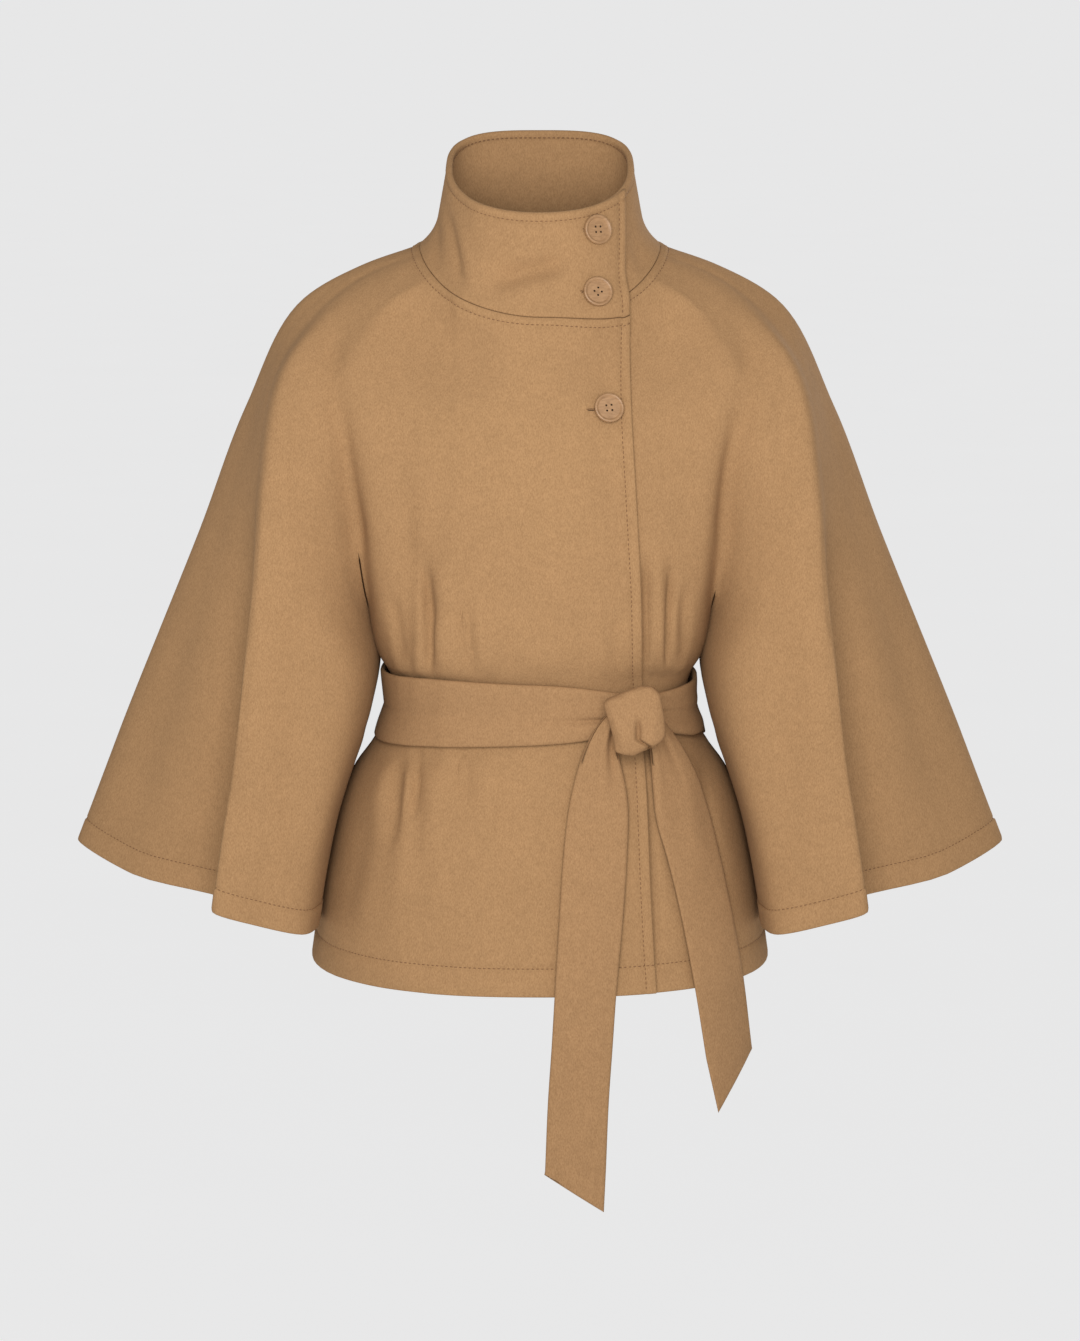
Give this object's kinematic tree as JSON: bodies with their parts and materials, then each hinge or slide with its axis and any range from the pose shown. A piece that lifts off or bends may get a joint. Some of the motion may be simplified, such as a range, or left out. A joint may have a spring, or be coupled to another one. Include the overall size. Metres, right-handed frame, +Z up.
{
  "type": "wool cape jacket",
  "caption": "Hip-length wool cape jacket with wide cape sleeves, a tall funnel collar, a buttoned overlapping front and a tied belt.",
  "frame": {"origin": "centre of the neck opening, level with the neck points where the garment rests on the shoulders", "axes": "+Z up; the wearer faces -Y; +X is the wearer's left"},
  "size_m": [0.842, 0.2979, 0.9371],
  "materials": {
    "melton": "matt brushed wool",
    "belt_melton": "matt brushed wool",
    "button": "satin, horn look"
  },
  "bodies": {
    "root": {"front_right": "melton", "front_left": "melton", "back": "melton", "collar": "melton", "belt_band": "belt_melton", "belt_knot": "belt_melton", "belt_tail_right": "belt_melton", "belt_tail_left": "belt_melton", "button_1": "button", "button_2": "button", "button_3": "button"}
  },
  "joints": []
}
